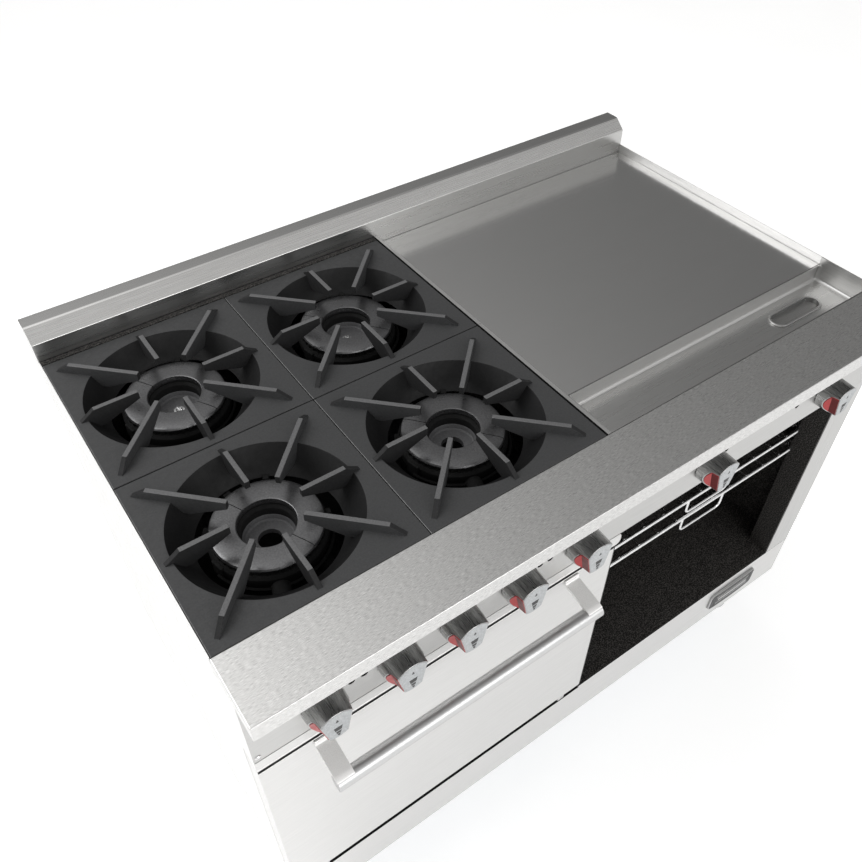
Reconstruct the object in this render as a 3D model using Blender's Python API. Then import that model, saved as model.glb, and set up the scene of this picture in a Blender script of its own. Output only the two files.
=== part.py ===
"""A 48 inch commercial gas range: four open burners and a griddle, over one oven and one open bay.

Lengths below are in millimetres, in a frame of the cooking top: x runs along the range from its middle,
y runs back from the front edge of the top ledge, and z runs up from the cooking surface. The empty
named range_frame puts that frame above the floor, so that the whole range stands on world zero.
"""

import math

import bmesh
import bpy
from mathutils import Matrix

MM = 0.001

# Driving sizes
WIDTH = 1219.2
HALF = WIDTH / 2
BODY_HEIGHT = 758.5
LEG_HEIGHT = 152.4
TOP_HEIGHT = BODY_HEIGHT + LEG_HEIGHT
DEPTH = 762.0
SHEET = 1.5
GAP = 0.3

# Front
FRONT_Y = 46.0
LEDGE_DEPTH = 100.8
LEDGE_LIP = 28.0
PANEL_BOTTOM = -173.5
TRAY_STRIP_BOTTOM = -201.0
DOOR_TOP = -206.0
DOOR_BOTTOM = -637.0
DOOR_DEPTH = 40.0
RAIL_TOP_LEFT = -650.0
RAIL_TOP_RIGHT = -645.0
STILE_X = 543.0
RETURN_Y = 90.0
HINGE_Y = 50.0
HINGE_Z = -643.5

# Back
BACK_PANEL_Y = 757.0
RAIL_Y = 712.0
RAIL_HEIGHT = 50.0

# Controls
KNOB_Z = -129.0
KNOB_RADIUS = 28.5
KNOB_LENGTH = 36.5
CONTROLS = {
    "front_left": -509.0,
    "rear_left": -399.0,
    "rear_right": -302.0,
    "front_right": -199.0,
    "oven": -82.0,
    "griddle_left": 184.0,
    "griddle_right": 476.0,
}
PILOT_HOLES = (-467.0, -448.0, -160.0, -142.0, 161.0, 222.0, 395.0, 449.0)
PILOT_HOLE_Z = -120.0
STEM_RADIUS = 5.0
VALVE_FRONT_Y = 52.3

# Cooking top
GRATE_X = {"left": -457.6, "right": -156.9}
GRATE_Y = {"front": 250.3, "rear": 550.4}
GRATE_WIDTH = 299.4
GRATE_DEPTH = 298.4
GRATE_THICKNESS = 6.0
GRATE_SKIRT = 22.7
BOWL_RADIUS = 128.0
PATTERN_X = -4.2
PATTERN_Y = -2.5
PRONG_HEIGHT = 15.0
PRONG_THICKNESS = 7.0
PRONG_INNER_RADIUS = 51.0
PRONG_OUTER_RADIUS = {"straight": 139.0, "diagonal": 184.0}
PRONG_SLOPE = 22.0
FRAME_TOP = -23.0
FRAME_BOTTOM = -45.0
BURNER_RADIUS = 77.0
BURNER_X = {"left": -460.0, "right": -157.0}
BURNER_Y = {"front": 259.8, "rear": 561.5}
VENTURI_Z = {"front": -62.0, "rear": -93.0}
GRIDDLE_LEFT = 2.0
GRIDDLE_FRONT = 205.0
GRIDDLE_TOP = -16.0
GRIDDLE_THICKNESS = 20.0
TROUGH_DEPTH = 46.5
DRAIN_X = 497.0
DRAIN_Y = 160.0

# Bay and oven
BAY_RIGHT = 542.7
BAY_WALL_X = 594.7
BAY_TOP = -174.5
BAY_FLOOR = -644.5
BAY_RACK_X = 276.0
BAY_RACK_WIDTH = 514.0
RACK_FRONT_Y = 80.0
RACK_Z = {"upper": -279.0, "lower": -329.0}
RACK_WIRE = 3.75
GAS_PIPE_X = 575.0
GAS_PIPE_Y = 72.0
GAS_PIPE_Z = -152.5
OVEN_LEFT = -590.0
OVEN_RIGHT = -20.0
OVEN_TOP = -232.0
OVEN_FLOOR = -620.0
OVEN_RACK_Z = -430.0
HINGE_X = {"left": -560.0, "right": -50.0}

SIDES = 36


def clear_scene():
    for item in list(bpy.data.objects):
        bpy.data.objects.remove(item)


def material(name, colour, roughness, metallic=0.0):
    made = bpy.data.materials.new(name)
    made.use_nodes = True
    shader = made.node_tree.nodes["Principled BSDF"]
    shader.inputs["Base Color"].default_value = (*colour, 1.0)
    shader.inputs["Roughness"].default_value = roughness
    shader.inputs["Metallic"].default_value = metallic
    return made


def empty(name, location, parent=None):
    made = bpy.data.objects.new(name, None)
    bpy.context.collection.objects.link(made)
    made.location = [value * MM for value in location]
    made.parent = parent
    return made


# ---- shapes, each a closed body --------------------------------------------------------------------


def from_bmesh(bm):
    bmesh.ops.remove_doubles(bm, verts=bm.verts, dist=1e-6)
    bmesh.ops.recalc_face_normals(bm, faces=bm.faces)
    mesh = bpy.data.meshes.new("shape")
    bm.to_mesh(mesh)
    bm.free()
    made = bpy.data.objects.new("shape", mesh)
    bpy.context.collection.objects.link(made)
    return made


def prism(outline, axis, start, end):
    """An outline pushed along an axis: (y, z) points along X, (x, z) along Y, (x, y) along Z."""
    spots = {"X": (2, 0, 1), "Y": (0, 2, 1), "Z": (0, 1, 2)}[axis]
    bm = bmesh.new()
    for level in (start, end):
        corners = []
        for u, v in outline:
            values = (u, v, level)
            corners.append(bm.verts.new([values[spot] * MM for spot in spots]))
        bm.faces.new(corners)
    bm.verts.ensure_lookup_table()
    count = len(outline)
    for i in range(count):
        j = (i + 1) % count
        bm.faces.new([bm.verts[i], bm.verts[j], bm.verts[j + count], bm.verts[i + count]])
    return from_bmesh(bm)


def box(low, high):
    outline = [(low[0], low[1]), (high[0], low[1]), (high[0], high[1]), (low[0], high[1])]
    return prism(outline, "Z", low[2], high[2])


def bent_sheet(path, thickness=SHEET):
    """The outline of sheet metal bent along a path, its thickness laid on the path's left side."""
    laid = []
    for i, point in enumerate(path):
        before = path[max(i - 1, 0)]
        after = path[min(i + 1, len(path) - 1)]
        normals = []
        for first, second in ((before, point), (point, after)):
            run = math.dist(first, second)
            if run > 0:
                normals.append(((first[1] - second[1]) / run, (second[0] - first[0]) / run))
        u = sum(n[0] for n in normals)
        v = sum(n[1] for n in normals)
        scale = thickness * len(normals) / (u * u + v * v)
        laid.append((point[0] + u * scale, point[1] + v * scale))
    return path + laid[::-1]


def turned(profile, centre=(0, 0, 0), axis="Z", segments=SIDES, ring=False):
    """A profile of (radius, height) spun about an axis; heights run up Z, back along Y or right along X."""
    bm = bmesh.new()
    corners = [bm.verts.new((radius * MM, 0, height * MM)) for radius, height in profile]
    for first, second in zip(corners, corners[1:] + corners[:1] if ring else corners[1:]):
        bm.edges.new((first, second))
    bmesh.ops.spin(
        bm, geom=bm.verts[:] + bm.edges[:], cent=(0, 0, 0), axis=(0, 0, 1),
        angle=2 * math.pi, steps=segments, use_merge=True,
    )
    for vertex in bm.verts:
        x, y, z = vertex.co
        turned_to = {"Z": (x, y, z), "Y": (x, z, -y), "X": (z, x, y)}[axis]
        vertex.co = [turned_to[i] + centre[i] * MM for i in range(3)]
    return from_bmesh(bm)


def rod(start, length, radius, axis, segments=12):
    profile = [(0, 0), (radius, 0), (radius, length), (0, length)]
    return turned(profile, start, axis, segments)


def wire(path, radius, closed=False, resolution=1):
    """A wire along a path; its resolution gives it 4 sides at 0, 6 at 1 and 12 at 4."""
    curve = bpy.data.curves.new("wire", "CURVE")
    curve.dimensions = "3D"
    curve.bevel_depth = radius * MM
    curve.bevel_resolution = resolution
    curve.use_fill_caps = True
    spline = curve.splines.new("POLY")
    spline.points.add(len(path) - 1)
    for point, spot in zip(spline.points, path):
        point.co = (*[value * MM for value in spot], 1)
    spline.use_cyclic_u = closed
    guide = bpy.data.objects.new("wire", curve)
    bpy.context.collection.objects.link(guide)
    mesh = bpy.data.meshes.new_from_object(guide)
    bpy.data.objects.remove(guide)
    bm = bmesh.new()
    bm.from_mesh(mesh)
    return from_bmesh(bm)


def hull(points):
    bm = bmesh.new()
    for point in points:
        bm.verts.new([value * MM for value in point])
    bmesh.ops.convex_hull(bm, input=bm.verts)
    return from_bmesh(bm)


def rounded(low, high, radius, steps=4):
    """The outline of a rectangle whose corners are arcs."""
    outline = []
    centres = (
        (high[0] - radius, high[1] - radius), (low[0] + radius, high[1] - radius),
        (low[0] + radius, low[1] + radius), (high[0] - radius, low[1] + radius),
    )
    for quarter, (u, v) in enumerate(centres):
        for step in range(steps + 1):
            angle = math.pi / 2 * (quarter + step / steps)
            outline.append((u + radius * math.cos(angle), v + radius * math.sin(angle)))
    return outline


def combine(target, tools, operation):
    for tool in tools:
        modifier = target.modifiers.new("Boolean", "BOOLEAN")
        modifier.operation = operation
        modifier.object = tool
    graph = bpy.context.evaluated_depsgraph_get()
    mesh = bpy.data.meshes.new_from_object(target.evaluated_get(graph))
    target.modifiers.clear()
    target.data = mesh
    for tool in tools:
        bpy.data.objects.remove(tool)
    return target


def joined(target, *tools):
    return combine(target, tools, "UNION")


def cut(target, *tools):
    return combine(target, tools, "DIFFERENCE")


def finish(part, name, finish_material, location=(0, 0, 0), parent=None):
    """Names a shape as one sub-part of the range and puts it in place."""
    part.name = name
    part.data.name = name
    part.data.materials.clear()
    part.data.materials.append(finish_material)
    part.data.shade_smooth()
    part.data.set_sharp_from_angle(angle=math.radians(30))
    part.location = [value * MM for value in location]
    part.parent = parent or RANGE_FRAME
    return part


def copy_of(part, name, location):
    """Another of the same piece, sharing its mesh."""
    made = part.copy()
    made.name = name
    bpy.context.collection.objects.link(made)
    made.location = [value * MM for value in location]
    return made


# ---- cabinet ---------------------------------------------------------------------------------------


def side_panels():
    inner = FRONT_Y + SHEET + GAP
    body = [
        (inner, -BODY_HEIGHT), (760, -BODY_HEIGHT), (760, -0.5), (LEDGE_DEPTH + 1.2, -0.5),
        (LEDGE_DEPTH + 1.2, -30), (inner, -30),
    ]
    door_notch = [
        (inner, -203), (RETURN_Y + 0.5, -203),
        (RETURN_Y + 0.5, RAIL_TOP_LEFT - GAP), (inner, RAIL_TOP_LEFT - GAP),
    ]
    left = prism(body + door_notch, "X", -HALF, SHEET - HALF)
    finish(left, "left_side_panel", STEEL)
    right = prism(body, "X", HALF - SHEET, HALF)
    finish(right, "right_side_panel", STEEL)


def back_and_base():
    inside = HALF - SHEET - GAP
    back = box((-inside, BACK_PANEL_Y, SHEET + GAP - BODY_HEIGHT), (inside, BACK_PANEL_Y + SHEET, -0.5))
    pipe_hole = rod((GAS_PIPE_X, BACK_PANEL_Y - 5, GAS_PIPE_Z), 12, 13.5, "Y", 16)
    finish(cut(back, pipe_hole), "back_panel", GALVANISED)
    base = box((-inside, FRONT_Y + SHEET + GAP, -BODY_HEIGHT), (inside, BACK_PANEL_Y - GAP, SHEET - BODY_HEIGHT))
    finish(base, "base_pan", GALVANISED)


def front_frame():
    inside = HALF - SHEET - GAP
    pieces = []
    for start, end, top in ((-HALF, 1, RAIL_TOP_LEFT), (-1, HALF, RAIL_TOP_RIGHT)):
        pieces.append(box((start, FRONT_Y, -BODY_HEIGHT), (end, FRONT_Y + SHEET, top)))
        flange_low = (max(start, -inside), FRONT_Y + 0.5, top - SHEET)
        pieces.append(box(flange_low, (min(end, inside), RETURN_Y, top)))
    finish(joined(*pieces), "bottom_front_rail", STEEL)

    path = [(HALF, FRONT_Y), (STILE_X, FRONT_Y), (STILE_X, RETURN_Y)]
    stile = prism(bent_sheet(path, -SHEET), "Z", RAIL_TOP_RIGHT + GAP, PANEL_BOTTOM - GAP)
    finish(stile, "right_stile", STEEL)

    outline = [
        (91, SHEET + GAP - BODY_HEIGHT), (BACK_PANEL_Y - GAP, SHEET + GAP - BODY_HEIGHT),
        (BACK_PANEL_Y - GAP, FRAME_BOTTOM - 2), (105, FRAME_BOTTOM - 2), (105, PANEL_BOTTOM),
        (91, PANEL_BOTTOM), (91, -203), (48, -203), (48, -643), (91, -643),
    ]
    finish(prism(outline, "X", -1, 0.7), "centre_partition", ENAMEL)


def ledge_and_rail():
    shell = box((-HALF, 0, -LEDGE_LIP), (HALF, LEDGE_DEPTH, 0))
    hollow = box((SHEET - HALF, SHEET, -LEDGE_LIP - 1), (HALF - SHEET, LEDGE_DEPTH - SHEET, -SHEET))
    finish(cut(shell, hollow), "top_ledge", STEEL)

    outline = [(RAIL_Y, 0), (RAIL_Y, 31), (733, 49.5), (736, RAIL_HEIGHT), (DEPTH, RAIL_HEIGHT), (DEPTH, 0)]
    core = [(RAIL_Y + SHEET, -1), (RAIL_Y + SHEET, 30.3), (733.6, 48), (DEPTH - SHEET, 48.5), (DEPTH - SHEET, -1)]
    rail = cut(prism(outline, "X", -HALF, HALF), prism(core, "X", SHEET - HALF, HALF - SHEET))
    behind_griddle = box((GRIDDLE_LEFT, RAIL_Y, GRIDDLE_TOP - 4), (HALF - SHEET - GAP, RAIL_Y + SHEET, 1))
    finish(joined(rail, behind_griddle), "back_rail", STEEL)


def control_panel():
    inside = HALF - SHEET - GAP
    outline = [
        (-HALF, PANEL_BOTTOM), (HALF, PANEL_BOTTOM), (HALF, -30), (inside, -30), (inside, -SHEET - GAP),
        (-inside, -SHEET - GAP), (-inside, -30), (-HALF, -30),
    ]
    plate = prism(outline, "Y", FRONT_Y, FRONT_Y + SHEET)
    flange = box((-inside, FRONT_Y + 1, PANEL_BOTTOM), (inside, RETURN_Y, PANEL_BOTTOM + SHEET))
    stems = [rod((x, FRONT_Y - 2, KNOB_Z), 6, 7, "Y") for x in CONTROLS.values()]
    pilots = [rod((x, FRONT_Y - 2, PILOT_HOLE_Z), 6, 5, "Y") for x in PILOT_HOLES]
    panel = cut(joined(plate, flange), *stems, *pilots)
    finish(panel, "control_panel", STEEL)


def legs():
    profile = [
        (0, 0), (17, 0), (22, 4), (25, 12), (25, 30), (20.5, 34), (20.5, LEG_HEIGHT - 26), (28, LEG_HEIGHT - 6),
        (45, LEG_HEIGHT - 4), (45, LEG_HEIGHT - GAP), (0, LEG_HEIGHT - GAP),
    ]
    first = None
    for end, y in (("front", 110), ("rear", 700)):
        for side, x in (("left", -540), ("right", 540)):
            place = (x, y, -TOP_HEIGHT)
            name = f"leg_{end}_{side}"
            if first:
                copy_of(first, name, place)
            else:
                first = finish(turned(profile, segments=18), name, STEEL, place)


def badge():
    """A blank pillow-shaped plate on the bottom rail."""
    width = 136.0
    height = 50.0
    proud = 6.0
    points = []
    for step in range(9):
        share = step / 8 * 2 - 1
        points.append((share * width / 2, -proud * math.sqrt(1 - 0.7 * share * share)))
    outline = points + [(width / 2, 0), (-width / 2, 0)]
    finish(prism(outline, "Z", 0, height), "badge", STEEL, (446, FRONT_Y - GAP, -721))


# ---- gas ------------------------------------------------------------------------------------------

def gas_manifold():
    path = [
        (-560, GAS_PIPE_Y, GAS_PIPE_Z), (GAS_PIPE_X, GAS_PIPE_Y, GAS_PIPE_Z), (GAS_PIPE_X, DEPTH, GAS_PIPE_Z),
    ]
    finish(wire(path, 11, resolution=4), "gas_manifold", PIPE)


def valves():
    profile = [(0, 0), (11, 0), (11, 10), (8.5, 12), (8.5, 28), (4.5, 30), (4.5, 46), (0, 46)]
    first = None
    for name, x in CONTROLS.items():
        place = (x, VALVE_FRONT_Y, KNOB_Z)
        if first:
            copy_of(first, f"valve_{name}", place)
        else:
            first = finish(turned(profile, axis="Y", segments=12), f"valve_{name}", BRASS, place)


def open_burners():
    head_profile = [
        (42, -42), (40, -39), (40, -31.5), (41.5, -30), (70, -30), (75, -31.5), (BURNER_RADIUS, -34),
        (BURNER_RADIUS, -39), (71, -42),
    ]
    first = None
    for side, x in BURNER_X.items():
        for end, y in BURNER_Y.items():
            name = f"burner_head_{end}_{side}"
            if first:
                copy_of(first, name, (x, y, 0))
            else:
                first = finish(turned(head_profile, segments=24, ring=True), name, IRON, (x, y, 0))
            burner_base(f"burner_base_{end}_{side}", x, y, CONTROLS[f"{end}_{side}"], VENTURI_Z[end])


def burner_base(name, x, y, valve_x, venturi_z):
    """The casting under a burner's ring, with its mixing tube running forward to the valve's jet."""
    bottom = venturi_z - 14
    profile = [(42, bottom), (36, -70), (36, -44), (43, -42.3), (73, -42.3), (81, -47), (79, -66), (62, bottom)]
    if bottom > -80:
        profile[1] = (36, bottom + 4)
        profile[6] = (73, bottom + 6)
    ring = turned(profile, (x, y, 0), segments=20, ring=True)
    reach = (valve_x - x) / (y - 106)
    path = [(x + reach * 55, y - 55, venturi_z), (valve_x, 106, venturi_z)]
    tube = wire(path, 12.5, resolution=3)
    finish(joined(ring, tube), name, IRON)


def griddle_burners():
    profile = [(0, 0), (17, 0), (17, 4), (11, 30), (14, 60), (14, 585), (11, 590), (0, 590)]
    for side in ("left", "right"):
        burner = turned(profile, axis="Y", segments=16)
        finish(burner, f"griddle_burner_{side}", PIPE, (CONTROLS[f"griddle_{side}"], 106, -88))


def oven_burner():
    profile = [(0, 0), (20, 0), (20, 4), (12, 35), (17, 70), (17, 590), (13, 596), (0, 596)]
    finish(turned(profile, axis="Y", segments=16), "oven_burner", IRON, (-305, 106, -685))


# ---- cooking top ----------------------------------------------------------------------------------


def cooktop_frame():
    """The black frame that carries the grates, with a low wall behind them and one beside the griddle."""
    left = GAP + SHEET - HALF
    right = 1.6
    front = LEDGE_DEPTH + GAP
    back = RAIL_Y - GAP
    frame = box((left, front, FRAME_BOTTOM), (right, back, FRAME_TOP))
    windows = []
    for low_x, high_x in ((-588, -317), (-297, -26)):
        for low_y, high_y in ((121, 390), (410, 681)):
            windows.append(box((low_x, low_y, FRAME_BOTTOM - 2), (high_x, high_y, FRAME_TOP + 2)))
    rear_wall = box((left, 701.4, FRAME_TOP - 5), (right, back, -0.5))
    divider = box((-6.4, front, FRAME_TOP - 5), (right, back, 0))
    finish(joined(cut(frame, *windows), rear_wall, divider), "cooktop_frame", ENAMEL)


def prong(outer, angle):
    """One finger of a grate, standing on the plate and reaching in over the burner."""
    inner = PRONG_INNER_RADIUS
    outline = [
        (inner, 3), (inner, PRONG_HEIGHT - 2), (inner + 2, PRONG_HEIGHT), (outer - PRONG_SLOPE, PRONG_HEIGHT),
        (outer, 0.5), (outer, -4), (BOWL_RADIUS, -4), (117, -18), (107, -18),
    ]
    finger = prism(outline, "Y", -PRONG_THICKNESS / 2, PRONG_THICKNESS / 2)
    finger.data.transform(Matrix.Rotation(angle, 4, "Z"))
    return finger


def grates():
    half_x = GRATE_WIDTH / 2
    half_y = GRATE_DEPTH / 2
    wall = 6.0
    block = box((-half_x, -half_y, -GRATE_SKIRT), (half_x, half_y, 0))
    under = box((wall - half_x, wall - half_y, -GRATE_SKIRT - 1), (half_x - wall, half_y - wall, -GRATE_THICKNESS))
    hole = rod((0, 0, -10), 20, BOWL_RADIUS + 2, "Z", SIDES)
    bowl_profile = [
        (BOWL_RADIUS, 0), (97, -37), (102, -37), (BOWL_RADIUS + 5, -GRATE_THICKNESS), (BOWL_RADIUS + 5, 0),
    ]
    bowl = turned(bowl_profile, ring=True)
    fingers = []
    for step in range(8):
        fingers.append(prong(PRONG_OUTER_RADIUS["diagonal" if step % 2 else "straight"], step * math.pi / 4))
    for part in (hole, bowl, *fingers):
        part.data.transform(Matrix.Translation((PATTERN_X * MM, PATTERN_Y * MM, 0)))
    plate = joined(cut(block, under, hole), bowl, *fingers)
    first = None
    for side, x in GRATE_X.items():
        for end, y in GRATE_Y.items():
            name = f"grate_{end}_{side}"
            if first:
                copy_of(first, name, (x, y, 0))
            else:
                first = finish(plate, name, IRON, (x, y, 0))


def griddle():
    """The plate lies lower than the ledge and the side panel, and steps down again into its trough."""
    inside = HALF - SHEET - GAP
    plate = box((GRIDDLE_LEFT, GRIDDLE_FRONT, GRIDDLE_TOP - GRIDDLE_THICKNESS), (inside, RAIL_Y - GAP, GRIDDLE_TOP))
    finish(plate, "griddle_plate", GRIDDLE_STEEL)

    back = GRIDDLE_FRONT - GAP
    trough = box((GRIDDLE_LEFT, LEDGE_DEPTH + GAP, -TROUGH_DEPTH), (inside, back, -GAP))
    hollow = box(
        (GRIDDLE_LEFT + SHEET, LEDGE_DEPTH + GAP + SHEET, SHEET - TROUGH_DEPTH), (inside - SHEET, back - SHEET, 2),
    )
    step_down = box((GRIDDLE_LEFT + SHEET, back - 9, GRIDDLE_TOP - GAP), (inside - SHEET, back + 5, 2))
    low = (DRAIN_X - 60, DRAIN_Y - 19)
    high = (DRAIN_X + 60, DRAIN_Y + 19)
    spout = prism(rounded(low, high, 19), "Z", -66, 5 - TROUGH_DEPTH)
    bore_low = (low[0] + 3, low[1] + 3)
    bore_high = (high[0] - 3, high[1] - 3)
    bore = prism(rounded(bore_low, bore_high, 16), "Z", -70, 0)
    finish(cut(joined(cut(trough, hollow, step_down), spout), bore), "grease_trough", STEEL)


# ---- oven and bay ---------------------------------------------------------------------------------


def oven_liner():
    body = box((OVEN_LEFT, RETURN_Y + 0.5, OVEN_FLOOR), (OVEN_RIGHT, 740, OVEN_TOP))
    flange = box((SHEET + GAP - HALF, RETURN_Y + 0.5, -640), (-1.3, RETURN_Y + 2.5, -204))
    inside = box(
        (OVEN_LEFT + SHEET, RETURN_Y - 5, OVEN_FLOOR + SHEET), (OVEN_RIGHT - SHEET, 740 - SHEET, OVEN_TOP - SHEET),
    )
    shell = cut(joined(body, flange), inside)
    guides = []
    for low, high in ((OVEN_LEFT + 0.5, OVEN_LEFT + 16), (OVEN_RIGHT - 16, OVEN_RIGHT - 0.5)):
        top = OVEN_RACK_Z - RACK_WIRE - GAP
        guides.append(box((low, 110, top - 6), (high, 739, top)))
    finish(joined(shell, *guides), "oven_liner", ENAMEL)


def bay_liner():
    """The bay's box, which steps out to its right wall behind the stile, with guides for the racks."""
    front = FRONT_Y + SHEET + GAP
    step = RETURN_Y + GAP
    back = 740.0
    mouth = box((1, front, BAY_FLOOR), (BAY_RIGHT, back, BAY_TOP))
    chamber = box((1, step, BAY_FLOOR), (BAY_WALL_X, back, BAY_TOP))
    low = (1 + SHEET, front - 5, BAY_FLOOR + SHEET)
    inside = box(low, (BAY_RIGHT - SHEET, back - SHEET, BAY_TOP - SHEET))
    low = (1 + SHEET, step + SHEET, BAY_FLOOR + SHEET)
    beside = box(low, (BAY_WALL_X - SHEET, back - SHEET, BAY_TOP - SHEET))
    guides = []
    for z in RACK_Z.values():
        top = z - RACK_WIRE - GAP
        guides.append(box((1.5, 95, top - 5), (27, back - 1, top)))
        guides.append(box((BAY_RIGHT - 18, 95, top - 5), (BAY_WALL_X - 0.5, back - 1, top)))
    finish(joined(cut(joined(mouth, chamber), inside, beside), *guides), "bay_liner", ENAMEL)


def wire_rack(width, depth, pull):
    """A rack about the middle of its front wire, with long wires that run back over one cross wire."""
    half = width / 2 - RACK_WIRE
    rim_path = [(x, y, 0) for x, y in rounded((-half, 0), (half, depth), 18, 3)]
    pieces = []
    count = round(width / 50)
    for step in range(1, count):
        x = -half + 2 * half * step / count
        pieces.append(wire([(x, 1.3, 0.6), (x, depth - 1.3, 0.6)], 2.4, resolution=0))
    for share in (0.34, 0.67):
        pieces.append(wire([(1 - half, depth * share, -1.7), (half - 1, depth * share, -1.7)], 2.4))
    if pull:
        half_pull = 52.5
        drop = -36
        bend = 8
        path = [
            (-half_pull, 0, 0), (-half_pull, 0, drop + bend), (bend - half_pull, 0, drop),
            (half_pull - bend, 0, drop), (half_pull, 0, drop + bend), (half_pull, 0, 0),
        ]
        pieces.append(wire(path, 3))
    return joined(wire(rim_path, RACK_WIRE, closed=True), *pieces)


def racks():
    for name, z in RACK_Z.items():
        rack = wire_rack(BAY_RACK_WIDTH, 640, pull=True)
        finish(rack, f"bay_rack_{name}", CHROME, (BAY_RACK_X, RACK_FRONT_Y, z))
    rack = wire_rack(553, 610, pull=False)
    finish(rack, "oven_rack", CHROME, ((OVEN_LEFT + OVEN_RIGHT) / 2, 120, OVEN_RACK_Z))


def crumb_tray():
    """A shallow tray under the burners, behind the strip that closes its slot."""
    front = FRONT_Y + 1
    tray = box((-600, front, -200), (-18, 690, -177))
    hollow = box((-600 + SHEET, front + SHEET, -200 + SHEET), (-18 - SHEET, 690 - SHEET, -170))
    end = 7.7
    bend = 8.0
    strip = [(end - bend, TRAY_STRIP_BOTTOM), (-HALF, TRAY_STRIP_BOTTOM), (-HALF, PANEL_BOTTOM - 0.5)]
    for step in range(4):
        angle = math.pi / 2 * (1 - step / 3)
        across = end - bend + bend * math.cos(angle)
        strip.append((across, PANEL_BOTTOM - 0.5 - bend + bend * math.sin(angle)))
    strip.append((end, TRAY_STRIP_BOTTOM + bend))
    plate = prism(strip, "Y", FRONT_Y - 0.5, FRONT_Y + 1.2)
    hem = box((-HALF, FRONT_Y - 2.5, TRAY_STRIP_BOTTOM), (-bend, FRONT_Y + 1.2, TRAY_STRIP_BOTTOM + 3.5))
    finish(joined(cut(tray, hollow), plate, hem), "crumb_tray", STEEL)


# ---- oven door ------------------------------------------------------------------------------------


def oven_door():
    pivot = empty("door_pivot", (0, HINGE_Y, HINGE_Z), RANGE_FRAME)
    place = (0, -HINGE_Y, -HINGE_Z)
    left = -HALF
    right = -1.3
    back = FRONT_Y + DOOR_DEPTH

    pan = box((left, FRONT_Y, DOOR_BOTTOM), (right, back, DOOR_TOP))
    hollow = box(
        (left + SHEET, FRONT_Y + SHEET, DOOR_BOTTOM + SHEET), (right - SHEET, back + 5, DOOR_TOP - SHEET),
    )
    lugs = []
    bores = []
    for x in HINGE_X.values():
        lugs.append(box((x - 3, HINGE_Y - 3.5, HINGE_Z - 3.5), (x + 3, HINGE_Y + 3.5, DOOR_BOTTOM + 1)))
        bores.append(rod((x - 10, HINGE_Y, HINGE_Z), 20, 2.9, "X"))
    shell = cut(joined(cut(pan, hollow), *lugs), *bores)
    finish(shell, "door_shell", STEEL, place, pivot)

    liner = box((left + 2, back + GAP, DOOR_BOTTOM + 2), (right - 2, back + 2, DOOR_TOP - 2))
    finish(liner, "door_liner", ENAMEL, place, pivot)

    ring = box((OVEN_LEFT - 12, back + 2.3, OVEN_FLOOR - 12), (OVEN_RIGHT + 12, back + 4.2, OVEN_TOP + 12))
    opening = box((OVEN_LEFT - 2, back, OVEN_FLOOR - 2), (OVEN_RIGHT + 2, back + 8, OVEN_TOP + 2))
    finish(cut(ring, opening), "door_gasket", GASKET, place, pivot)

    tube_y = -6.0
    tube_z = -241.0
    tube_radius = 12.0
    handle_left = -531.0
    handle_right = -76.0
    strap_width = 26.0
    grip = rod((handle_left, tube_y, tube_z), handle_right - handle_left, tube_radius, "X", 20)
    skin = FRONT_Y - GAP
    outline = [
        (skin, DOOR_TOP - 3), (skin - 3, DOOR_TOP - 3), (skin - 3, -216.5), (tube_y, -227), (tube_y - 6, -230),
        (tube_y - 6, -235), (tube_y, -232), (skin, -221),
    ]
    straps = []
    for start in (handle_left, handle_right - strap_width):
        straps.append(prism(outline, "X", start, start + strap_width))
    finish(joined(grip, *straps), "door_handle", STEEL, place, pivot)


def door_hinges():
    """A fixed lug on the bottom rail beside each lug of the door, with the pin that joins them."""
    for side, x in HINGE_X.items():
        lug = box((x + 3.5, HINGE_Y - 2.9, RAIL_TOP_LEFT + GAP), (x + 12, HINGE_Y + 2.9, HINGE_Z + 3.4))
        pin = rod((x - 5, HINGE_Y, HINGE_Z), 13, 2.5, "X")
        finish(joined(lug, pin), f"door_hinge_{side}", STEEL)


# ---- knobs ----------------------------------------------------------------------------------------


def knob_scoop(side):
    """The wedge that hollows one side of a knob's front, leaving a shield-shaped face."""
    top = (23.0, 17.5)
    bottom = (13.0, -26.5)
    run = math.dist(top, bottom)
    along = ((top[0] - bottom[0]) / run, (top[1] - bottom[1]) / run)
    outward = (along[1], -along[0])
    ahead = KNOB_LENGTH + 2
    rows = ((0, ahead, 6), (2.3, 23.7, -4), (14, 12.3, -6), (14, ahead, 6))
    points = []
    for inset, forward, spare in rows:
        for start, reach in ((top, spare), (bottom, -8)):
            across = start[0] + along[0] * reach + outward[0] * inset
            up = start[1] + along[1] * reach + outward[1] * inset
            points.append((side * across, -forward, up))
    return hull(points)


def knobs():
    profile = [
        (0, -6), (STEM_RADIUS, -6), (STEM_RADIUS, GAP), (KNOB_RADIUS, GAP), (KNOB_RADIUS, KNOB_LENGTH - 1),
        (KNOB_RADIUS - 1, KNOB_LENGTH), (0, KNOB_LENGTH),
    ]
    body = turned([(radius, -height) for radius, height in profile], axis="Y", segments=32)
    body = cut(body, knob_scoop(1), knob_scoop(-1))
    first = None
    for name, x in CONTROLS.items():
        place = (x, FRONT_Y, KNOB_Z)
        if first:
            copy_of(first, f"knob_{name}", place)
        else:
            first = finish(body, f"knob_{name}", KNOB_STEEL, place)


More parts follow.
